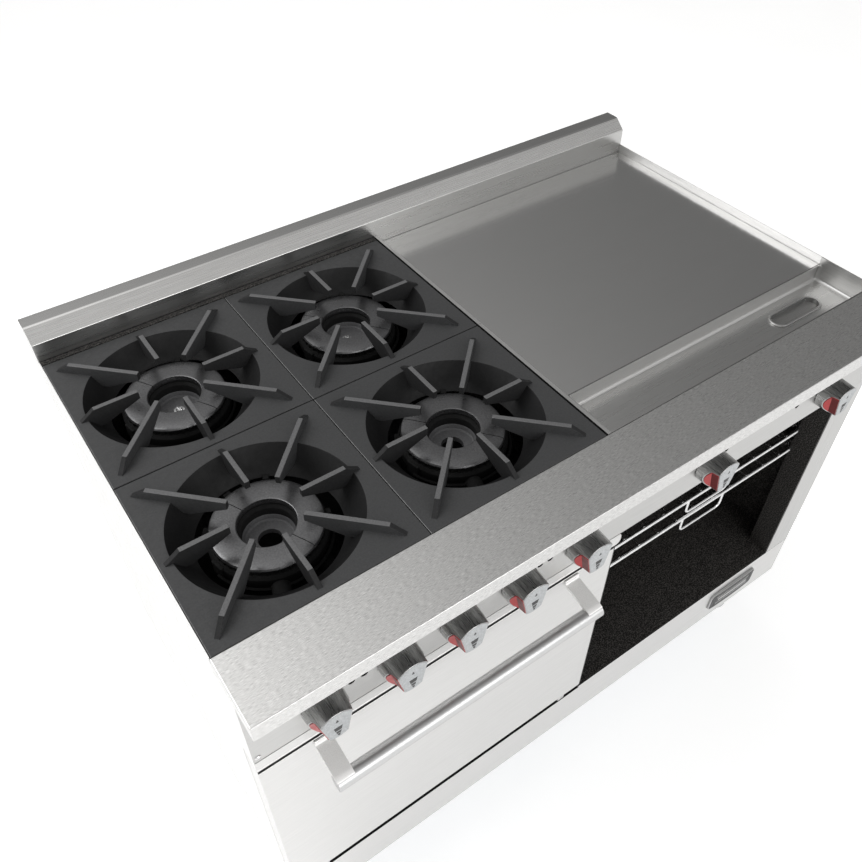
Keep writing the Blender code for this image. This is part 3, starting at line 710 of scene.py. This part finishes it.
def knob_marks():
    """A small pointer and three bars that grow shorter, the usual sign for more and less heat."""
    rows = ((-2.6, -11, 6.2, 4.6), (-13, -17.8, 4.0, 2.8), (-19.4, -23.6, 2.3, 1.0))
    outlines = [[(-2.3, 9.5), (2.3, 9.5), (0, 15.5)]]
    for top, bottom, wide, narrow in rows:
        outlines.append([(-wide, top), (wide, top), (narrow, bottom), (-narrow, bottom)])
    front = -KNOB_LENGTH
    return joined(*[prism(outline, "Y", front - MARK, front) for outline in outlines])


def knobs():
    """Seven knobs of one shape, each on its own body."""
    body = eased(cut(knob_blank(), scoop(1, LINING), scoop(-1, LINING)), 0.25, 2, 40)
    parts = {
        "knob_body": (body, STEEL_KNOB),
        "knob_liner_left": (knob_liner(-1), None),
        "knob_liner_right": (knob_liner(1), None),
        "knob_face": (knob_face(), FACE),
        "knob_mark": (knob_marks(), INK),
    }
    for control in CONTROLS:
        node = f"knob_{control}"
        low, high = node_box(node)
        place = ((low.x + high.x) / 2, low.y + KNOB_LENGTH, (low.z + high.z) / 2)
        for kind, (part, look) in parts.items():
            stands_for = (node,) if kind == "knob_body" else ()
            piece(part, f"{kind}_{control}", look, "knob_steel", node, stands_for, place)


# ---- grates and burners ----------------------------------------------------------------------------

BOWL_RADIUS = 128.0
BOWL_FLOOR = -37.0
PATTERN = Vector((-4.2, -2.5, 0))  # from a plate's middle to the middle of its bowl and fingers
PRONG_TOP = 15.0
PRONG_SLOPE = 22.0
STRAIGHT_PRONG = 139.0
DIAGONAL_PRONG = 184.0


def prong(outer, angle):
    """One finger of a grate: level on top, sloping down to the plate at its outer end."""
    outline = [
        (51, 2), (51, PRONG_TOP), (outer - PRONG_SLOPE, PRONG_TOP), (outer, 0.3), (outer, -4),
        (BOWL_RADIUS + 1, -4), (117, -19), (106, -19),
    ]
    finger = eased(prism(outline, "Y", -3.5, 3.5), 0.5, 1)
    finger.data.transform(Matrix.Rotation(angle, 4, "Z"))
    return finger


def grate_shape():
    """A cast plate with a skirt, a bowl and eight fingers."""
    low, high = node_box("grate_front_left")
    half_x = (high.x - low.x) / 2
    half_y = (high.y - low.y) / 2
    skirt = 22.7
    wall = 6.0
    block = eased(box((-half_x, -half_y, -skirt), (half_x, half_y, 0)), 1.2, 3)
    under = box((wall - half_x, wall - half_y, -skirt - 1), (half_x - wall, half_y - wall, -6))
    hole = rod((0, 0, -10), 20, BOWL_RADIUS + 2, "Z", 128)
    profile = [
        (BOWL_RADIUS + 3, 0), (BOWL_RADIUS + 0.6, -0.1), (BOWL_RADIUS - 0.5, -1), (122, -9.5), (111, -22.5),
        (99, -36.3), (98.3, BOWL_FLOOR), (102, BOWL_FLOOR), (116, -22),
        (BOWL_RADIUS + 5, -6), (BOWL_RADIUS + 5, 0),
    ]
    bowl = turned(profile, ring=True, segments=128)
    fingers = [prong(DIAGONAL_PRONG if step % 2 else STRAIGHT_PRONG, step * math.pi / 4) for step in range(8)]
    for part in (hole, bowl, *fingers):
        part.data.transform(Matrix.Translation(PATTERN * MM))
    grate = merged(joined(cut(block, under, hole), bowl), *fingers)

    def pick(spot, normal):
        reach = math.hypot(spot.x - PATTERN.x, spot.y - PATTERN.y)
        # finger tops: a lighter iron, painted highlight
        if spot.z > PRONG_TOP - 0.8 and normal.z > 0.5:
            return 2
        # finger sides and the bowl's upright walls: a darker iron, painted shade
        if spot.z > 0.5 or spot.z < 0.3 and reach < 117.5 and abs(normal.z) < 0.2:
            return 3
        # the plate's rounded side edges: a paler iron, painted highlight
        if abs(spot.x) > half_x - 0.8 and 0.2 < abs(normal.x) < 0.95 and spot.z > -1.5:
            return 4
        # the bowl: a darker iron, painted shade
        return 1 if spot.z < -0.4 and reach < BOWL_RADIUS + 0.8 and normal.z > 0.3 else 0

    return painted(grate, (IRON, IRON_BOWL_SHADE, IRON_TOP_LIT, IRON_SIDE_SHADE, IRON_EDGE_HIGHLIGHT), pick)


# Where each burner's cap is split, in degrees
SPLITS = {"front_left": 116, "front_right": 130, "rear_left": 121, "rear_right": 130}
CAP_RADIUS = 77.0
# Each lump on a burner's body: its place in degrees, its depth and width, and its top's height above z = -40
LUGS = (
    (64, (9, 9, 8)), (104, (8, 12, 3)), (150, (8, 16, -2)), (190, (6, 22, -4)), (345, (8, 10, 0)),
)


def burner_cap():
    """The flat upper ring of an open burner, split in two, with small notches inside."""
    profile = [
        (41.5, -41), (39.9, -38), (39.9, -32), (40.4, -30.6), (42, -29.8), (60, -29.6), (71, -30.2),
        (75.4, -31.4), (CAP_RADIUS, -33.5), (76.6, -36.5), (72, -38), (60, -39.5), (50, -41),
    ]
    cap = turned(profile, ring=True, segments=128)
    cuts = [box((-83, -0.55, -34), (-30, 0.55, -20)), box((30, -0.55, -34), (83, 0.55, -20))]
    notches = 26
    for step in range(notches):
        notch = box((38, -1.4, -36), (41.2, 1.4, -33.4))
        notch.data.transform(Matrix.Rotation(step * 2 * math.pi / notches, 4, "Z"))
        cuts.append(notch)
    return cut(cap, *cuts)


def burner_crown():
    """The toothed ring of flame ports under a cap."""
    outline = []
    teeth = 46
    for step in range(teeth * 4):
        angle = step * math.pi / (teeth * 2)
        radius = 76.4 if step % 4 < 2 else 72.6
        outline.append((radius * math.cos(angle), radius * math.sin(angle)))
    ring = prism(outline, "Z", -43, -37)
    return cut(ring, rod((0, 0, -50), 20, 52, "Z", 64))


def burner_lug(radius, degrees, size):
    """A cast lump beside a burner."""
    top = -40 + size[2]
    lug = eased(box((radius, -size[1] / 2, -66), (radius + size[0], size[1] / 2, top)), 1.8, 2)
    lug.data.transform(Matrix.Rotation(math.radians(degrees), 4, "Z"))
    return lug


def burner_casting(tag, spot):
    """The black body under the flame ports, with its lugs, on the mixing tube."""
    node = f"burner_base_{tag}"
    bottom = node_box(node)[0].z
    profile = [
        (44, bottom), (37.5, bottom + 5), (36.6, -62), (36.6, -46), (40, -43), (43, -42.2), (72, -42.2),
        (78, -43.6), (81.3, -47), (82, -52), (80.5, -62), (76, -67), (62, bottom),
    ]
    body = turned(profile, ring=True, segments=96)
    lugs = [burner_lug(78, degrees, size) for degrees, size in LUGS]
    arch = turned([(84, -58), (86, -55), (88, -58), (86, -60)], ring=True, segments=96)
    arch = cut(arch, box((-100, -20, -80), (100, 100, 0)))
    valve = centre(f"valve_{tag}")
    tube_z = bottom + 14
    mouth_y = 106
    lean = (valve.x - spot.x) / (spot.y - mouth_y)
    path = [(lean * 55, -55, tube_z), (valve.x - spot.x, mouth_y - spot.y, tube_z)]
    bell = turned([(12.3, 0), (18, 0), (18, 5), (13.5, 22), (12.3, 22)], path[1], "Y", 32, True)
    part = joined(body, *lugs, arch, wire(path, 12.5), bell)
    piece(part, f"burner_casting_{tag}", SOOT_AND_SHADE, "burner_iron", BODY, (node,), (spot.x, spot.y, 0))
    profile = [(0, -75), (36.4, -75), (36.4, -58), (35, -60), (33.5, -64), (31, -66), (0, -66.5)]
    well = turned(profile, segments=64)
    if tag.startswith("front"):
        well = cut(well, rod((0, 0, -90), 60, 17, "Z", 48))
    piece(well, f"burner_well_{tag}", BURNER_PALE, "burner_iron", place=(spot.x, spot.y, 0))


def burners():
    """Four burners; the rear ones have a slotted screw in the middle."""
    cap = burner_cap()
    crown = burner_crown()
    profile = [(0, 0), (9, 0), (9, 1.4), (8.4, 2), (5.2, 2), (4.8, 4.6), (3.6, 5.8), (0, 6)]
    screw = turned(profile, segments=32)
    screw = cut(screw, box((-5.5, -0.7, 4), (5.5, 0.7, 8)), box((-0.7, -5.5, 4), (0.7, 5.5, 8)))
    for tag, degrees in SPLITS.items():
        spot = centre(f"burner_head_{tag}")
        place = (spot.x, spot.y, 0)
        turn = Matrix.Rotation(math.radians(degrees), 4, "Z")
        jobs = (
            ("burner_cap", cap, BURNER, (f"burner_head_{tag}",), place),
            ("burner_crown", crown, SOOT_AND_SHADE, (), place),
            ("burner_screw", screw, CHROME, (), (spot.x, spot.y, -66.6)),
        )
        for kind, part, look, stands_for, where in jobs[: 3 if tag.startswith("rear") else 2]:
            piece(part, f"{kind}_{tag}", look, "burner_iron", BODY, stands_for, where, turn)
        burner_casting(tag, spot)


def grates():
    shape = grate_shape()
    for corner in CORNERS:
        node = f"grate_{corner}"
        spot = centre(node)
        piece(shape, f"{node}_casting", None, "cast_iron", node, (node,), (spot.x, spot.y, 0))


def cooktop_frame():
    """The black frame under the grates, and the bright strip that parts them from the griddle."""
    low, high = node_box("cooktop_frame")
    frame_right = -6.4
    frame_top = -23.0
    part = box((low.x, low.y, low.z), (frame_right, high.y, frame_top))
    windows = []
    for low_x, high_x in ((-588, -317), (-297, -26)):
        for low_y, high_y in ((121, 390), (410, 681)):
            outline = rounded((low_x, low_y), (high_x, high_y), 12)
            windows.append(prism(outline, "Z", low.z - 2, frame_top + 2))
    wall = box((low.x, 701.4, frame_top - 5), (frame_right, high.y, -0.5))
    part = eased(joined(cut(part, *windows), wall), 0.8, 2)
    piece(part, "cooktop_frame_casting", BLACK, "black_enamel", replaces=("cooktop_frame",))
    left = -4.2
    seam = 400.5
    strip = joined(
        box((left, low.y, low.z), (left + SHEET, high.y, 0)),
        box((high.x - SHEET, low.y, low.z), (high.x, high.y, 0)),
        box((left, low.y, -SHEET), (high.x, seam, 0)),
        box((left, seam + 0.8, -SHEET), (high.x, high.y, 0)),
    )
    # the strip's left face is near-black: painted shade in the gap beside the grates
    strip = painted(eased(strip, 0.4, 2, 50), (STEEL_DEEP, SOOT_AND_SHADE), lambda spot, normal: normal.x < -0.9)
    piece(strip, "griddle_strip", None, "brushed_steel")


# ---- griddle ---------------------------------------------------------------------------------------


def griddle():
    """The griddle's plate, and the trough before it."""
    low, high = node_box("griddle_plate")
    plate = eased(box(low, high), 1.0, 3)
    # the plate's front faces take the dark steel: painted shade where the plate meets the trough
    plate = painted(plate, (STEEL_GRIDDLE, STEEL_DARK_AND_SHADE), lambda spot, normal: normal.y < -0.2)
    piece(plate, "griddle_plate_skin", None, "griddle_steel", replaces=("griddle_plate",))

    top = high.z
    low, high = node_box("grease_trough")
    floor = -46.5
    shell = box((low.x, low.y, floor), (high.x, high.y, high.z))
    hollow = eased(
        box((low.x + SHEET, low.y + SHEET, floor + SHEET), (high.x - SHEET, high.y - SHEET, 60)), 7, 5,
    )
    step_down = box((low.x + SHEET, high.y - 9, top - GAP), (high.x - SHEET, high.y + 5, 62))
    spout_low = (437.0, 141.0)
    spout_high = (557.0, 179.0)
    lip = 5
    rim = prism(rounded(spout_low, spout_high, 19), "Z", low.z, floor + lip)
    rim = eased(rim, 2.4, 4, 60)
    bore_low = [value + lip for value in spout_low]
    bore_high = [value - lip for value in spout_high]
    bore = prism(rounded(bore_low, bore_high, 14), "Z", low.z - 5, 0)
    trough = eased(cut(joined(cut(shell, hollow, step_down), rim), bore), 0.5, 2, 50)

    def pick(spot, normal):
        if normal.x < -0.3:
            return 1
        # rear walls facing the front take the brighter steel: painted sheen
        if normal.y < -0.3 and spot.y > spout_high[1] + 5:
            return 2
        near_spout = spot.y < spout_high[1] + 1 and spout_low[0] - 1 < spot.x < spout_high[0] + 1
        return 3 if near_spout and -0.9 < normal.z and abs(normal.z) < 0.97 else 0

    trough = painted(trough, (STEEL_SOFT, STEEL_SIDE, STEEL_WALL_LIT, CHROME), pick)
    piece(trough, "trough_skin", None, "brushed_steel", replaces=("grease_trough",))
    middle = ((bore_low[0] + bore_high[0]) / 2, (bore_low[1] + bore_high[1]) / 2, floor - 3)
    strainer = drain_strainer(bore_high[0] - bore_low[0], bore_high[1] - bore_low[1])
    piece(strainer, "drain_strainer", STEEL_SIDE, "brushed_steel", place=middle)


def drain_strainer(length, width):
    """A grid of thin bars that fills a slot with round ends."""
    pitch = 3
    half_bar = 0.6
    bury = 0.4
    end = width / 2
    straight = length / 2 - end
    bars = []
    for step in range(-18, 19):
        x = step * pitch
        past = max(abs(x) - straight, 0)
        if past < end - 1:
            half = math.sqrt(end * end - past * past) + bury
            bars.append(box((x - half_bar, -half, -1), (x + half_bar, half, 0)))
    for step in range(-4, 5):
        y = step * pitch
        half = straight + math.sqrt(end * end - y * y) + bury
        bars.append(box((-half, y - half_bar, -1.6), (half, y + half_bar, -0.6)))
    return merged(*bars)


# ---- racks -----------------------------------------------------------------------------------------

RIM_WIRE = 3.75  # radius of a rack's outer wire


def rack(node, pull):
    """A wire rack as large as a node, its front edge at y = 0, with a loop to pull it by if asked."""
    low, high = node_box(node)
    width = high.x - low.x
    depth = high.y - low.y - 2 * RIM_WIRE
    half = width / 2 - RIM_WIRE
    rim_path = [(x, y, 0) for x, y in rounded((-half, 0), (half, depth), 18)]
    pieces = []
    count = round(width / 45)
    for step in range(1, count):
        x = -half + 2 * half * step / count
        pieces.append(wire([(x, 0.5, 3.2), (x, depth - 0.5, 3.2)], 2.2, resolution=3))
    for share in (0.34, 0.67):
        pieces.append(wire([(-half, depth * share, -0.8), (half, depth * share, -0.8)], 2.6, resolution=3))
    if pull:
        path = [(-52.5, 0, 0), (-52.5, 0, -35.8), (52.5, 0, -35.8), (52.5, 0, 0)]
        pieces.append(wire(smooth_path(path, 12), 2.8, resolution=4))
    return joined(wire(rim_path, RIM_WIRE, closed=True, resolution=4), *pieces)


def racks():
    """Two racks of one shape, sliding in the bay, and one fixed in the oven."""
    bay_rack = rack("bay_rack_upper", True)
    for node in ("bay_rack_upper", "bay_rack_lower", "oven_rack"):
        low, high = node_box(node)
        in_bay = node.startswith("bay")
        shape = bay_rack if in_bay else rack(node, False)
        place = ((low.x + high.x) / 2, low.y + RIM_WIRE, high.z - 3.4)
        piece(shape, f"{node}_wires", CHROME, "chrome_wire", node if in_bay else BODY, (node,), place)


# ---- door and tray ---------------------------------------------------------------------------------


def door():
    """The door's steel pan with its hinge lugs, and the tube handle on two straps."""
    low, high = node_box("door_shell")
    bottom = -637.0
    hinge_y = 50
    shell = folded_box((low.x, low.y, bottom), (high.x, high.y, high.z - 1), 1.0, "+Y")
    lugs = []
    bores = []
    for x in (-560.0, -50.0):
        lugs.append(box((x - 3, hinge_y - 3.5, -647), (x + 3, hinge_y + 3.5, bottom + 1)))
        bores.append(rod((x - 10, hinge_y, -643.5), 20, 2.9, "X"))
    part = cut(joined(shell, *lugs), *bores)
    # the door's top edge takes the dark steel: painted shade in the gap under the tray strip
    part = painted(part, (STEEL_FRONT, STEEL_DARK_AND_SHADE), lambda spot, normal: normal.z > 0.9)
    piece(part, "door_skin", None, "brushed_steel", "oven_door", ("door_shell",))

    low, high = node_box("door_handle")
    tube_y = -6.0
    tube_z = -241.0
    length = high.x - low.x
    profile = [
        (0, 0), (11.2, 0), (11.8, 0.3), (12, 1),
        (12, length - 1), (11.8, length - 0.3), (11.2, length), (0, length),
    ]
    grip = turned(profile, (low.x, tube_y, tube_z), "X", 64)
    skin = high.y
    outer = [
        (0, skin, high.z), (0, skin - 3, high.z), (0, skin - 3, -216.5), (0, tube_y + 1, -226.6),
        (0, tube_y - 6.5, -229.6), (0, tube_y - 6.5, -235), (0, tube_y, -232), (0, skin, -221),
    ]
    outline = [(point.y, point.z) for point in smooth_path(outer, 2.5, closed=True, steps=4)]
    strap_width = 26
    straps = [prism(outline, "X", start, start + strap_width) for start in (low.x, high.x - strap_width)]
    handle = painted(
        eased(joined(grip, *straps), 0.4, 2, 45), (STEEL_PLAIN, STEEL_STRAP),
        lambda spot, normal: math.hypot(spot.y - tube_y, spot.z - tube_z) > 12.4,
    )
    piece(handle, "handle_bar", None, "brushed_steel", "oven_door", ("door_handle",))


def crumb_tray():
    """The tray and the strip across its front, with a rolled lower edge and a rounded right end."""
    low, high = node_box("crumb_tray")
    front = low.y + 3.5
    left = -600.0
    right = -18.0
    back = 690.0
    floor = -200.0
    tray = box((left, front, floor), (right, back, -177))
    hollow = box((left + SHEET, front + SHEET, floor + SHEET), (right - SHEET, back - SHEET, -150))
    tray = cut(tray, eased(hollow, 4, 3))
    end = high.x
    bend = 8.0
    bottom = low.z + 3.2
    strip = [(end - bend, bottom), (low.x, bottom), (low.x, high.z)]
    for height, start in ((high.z - bend, 1), (bottom + bend, 0)):
        for step in range(9):
            angle = math.pi / 2 * (start - step / 8)
            strip.append((end - bend + bend * math.cos(angle), height + bend * math.sin(angle)))
    plate = prism(strip, "Y", front - 1.5, front + 0.2)
    hem = rod((low.x, front - 0.3, bottom + 2), end - bend - low.x, 1.9, "X", 20)
    # the tray behind its front plate is near-black: painted shade in the gap above the door
    part = painted(
        eased(joined(tray, plate, hem), 0.3, 2, 60), (STEEL_FRONT, SOOT_AND_SHADE),
        lambda spot, normal: spot.y > front + 1.4,
    )
    piece(part, "crumb_tray_skin", None, "brushed_steel", "crumb_tray", ("crumb_tray",))


# ---- legs and hidden works -------------------------------------------------------------------------


def legs():
    """Four turned legs, each with a foot below and a flange above."""
    height = 152.4
    profile = [
        (0, 0), (16, 0), (20, 1.5), (23.5, 6), (25, 12), (25, 28), (24, 30), (20.5, 31), (20.5, 33),
        (19.5, 34), (20.5, 35), (20.5, 120), (22, 128), (28, height - 8), (30, height - 6),
        (45, height - 5.6), (45, height - 0.5), (0, height - 0.5),
    ]
    leg = turned(profile, segments=64)
    for corner in CORNERS:
        node = f"leg_{corner}"
        low, high = node_box(node)
        place = ((low.x + high.x) / 2, (low.y + high.y) / 2, low.z)
        piece(leg, f"{node}_turned", STEEL_PLAIN, "plain_steel", BODY, (node,), place)


def hidden_works():
    """Looks for the CAD nodes that are seen as they are."""
    looks = {
        "back_panel": GALVANISED, "base_pan": GALVANISED, "gas_manifold": PIPE, "oven_burner": IRON_DARK,
        "griddle_burner_left": PIPE, "griddle_burner_right": PIPE,
        "door_hinge_left": STEEL_PLAIN, "door_hinge_right": STEEL_PLAIN, "door_gasket": GASKET,
        "oven_liner": BLACK, "bay_liner": BLACK, "centre_partition": BLACK, "door_liner": BLACK,
    }
    for control in CONTROLS:
        looks[f"valve_{control}"] = BRASS
    for node, look in looks.items():
        frame["nodes"][node].data.materials[0] = look


# ---- stage -----------------------------------------------------------------------------------------


def world():
    """A dim studio with a soft bright patch overhead, a little back and to the left, and a bright front."""
    made = bpy.data.worlds.new("studio")
    bpy.context.scene.world = made
    made.use_nodes = True
    tree = made.node_tree
    background = tree.nodes["Background"]
    place = tree.nodes.new("ShaderNodeTexCoord")

    def node(kind, operation, first, second):
        step = tree.nodes.new(kind)
        step.operation = operation
        for i, value in enumerate((first, second)):
            if isinstance(value, bpy.types.NodeSocket):
                tree.links.new(value, step.inputs[i])
            else:
                step.inputs[i].default_value = value
        return step

    direction = place.outputs["Generated"]
    overhead = node("ShaderNodeVectorMath", "DOT_PRODUCT", direction, Vector((-0.2, 0.4, 0.9)).normalized())
    ramp = tree.nodes.new("ShaderNodeValToRGB")
    stops = (
        (0.5, 0), (0.61, 0.035), (0.68, 0.07), (0.76, 0.13),
        (0.835, 0.24), (0.906, 0.44), (0.943, 0.66), (1, 0.95),
    )
    elements = ramp.color_ramp.elements
    while len(elements) < len(stops):
        elements.new(0.5)
    for element, (spot, value) in zip(elements, stops):
        element.position = spot
        element.color = (value, value, value, 1)
    tree.links.new(overhead.outputs["Value"], ramp.inputs["Fac"])
    overhead_light, front_light, everywhere = 1.45, 0.85, 0.2
    patch = node("ShaderNodeMath", "MULTIPLY", ramp.outputs["Color"], overhead_light)
    facing = node("ShaderNodeVectorMath", "DOT_PRODUCT", direction, Vector((0, -1, 0)))
    front = node("ShaderNodeMath", "MAXIMUM", facing.outputs["Value"], 0.0)
    front = node("ShaderNodeMath", "MULTIPLY", front.outputs[0], front_light)
    glow = node("ShaderNodeMath", "ADD", patch.outputs[0], front.outputs[0])
    glow = node("ShaderNodeMath", "ADD", glow.outputs[0], everywhere)
    tree.links.new(glow.outputs[0], background.inputs["Strength"])
    background.inputs["Color"].default_value = (1, 0.997, 0.99, 1)


def floor():
    """A pale sheet that glows a little, so that it stays white round the range."""
    made = Surface("floor_paper", (0.93, 0.93, 0.93), 0.6)
    made.tint(made.noise(400, detail=2), 0.99, 1.01)
    made.shader.inputs["Emission Color"].default_value = (1, 1, 1, 1)
    made.shader.inputs["Emission Strength"].default_value = 0.35
    sheet = box((-9000, -9000, -6), (9000, 9000, 0))
    sheet.name = "floor"
    sheet.data.materials.append(made.material)


def area_light(name, place, aim, size, power):
    data = bpy.data.lights.new(name, "AREA")
    data.shape = "RECTANGLE"
    data.size, data.size_y = size
    data.energy = power
    lamp = bpy.data.objects.new(name, data)
    bpy.context.scene.collection.objects.link(lamp)
    lamp.location = place
    lamp.rotation_euler = (Vector(aim) - Vector(place)).to_track_quat("-Z", "Y").to_euler()


def camera():
    data = bpy.data.cameras.new("camera")
    data.sensor_width = 36.0
    data.lens = 35.28
    data.clip_end = 50.0
    made = bpy.data.objects.new("camera", data)
    bpy.context.scene.collection.objects.link(made)
    made.location = (-0.6821, -0.8014, 1.7581)
    heading, tilt, roll = -35.19, 44.41, 0.118
    turn = Matrix.Rotation(math.radians(heading), 4, "Z") @ Matrix.Rotation(math.radians(tilt), 4, "X")
    made.rotation_euler = (turn @ Matrix.Rotation(math.radians(roll), 4, "Z")).to_euler()
    bpy.context.scene.camera = made


camera()
world()
floor()
area_light("key", (-2.1, 1.4, 2.9), (-0.2, 0, 0.9), (2.2, 2.2), 46)
area_light("left_fill", (-3.6, 0.2, 2.0), (-0.6, 0, 0), (2.5, 2.0), 12)
area_light("front_fill", (0.3, -3.4, 2.2), (0, -0.6, 0), (3.0, 2.0), 45)
bpy.context.scene.view_settings.view_transform = "Standard"

ledge()
back_rail()
side_panels()
control_panel()
front_frame()
domed_screws()
badge()
knobs()
grates()
burners()
cooktop_frame()
griddle()
racks()
door()
crumb_tray()
legs()
hidden_works()
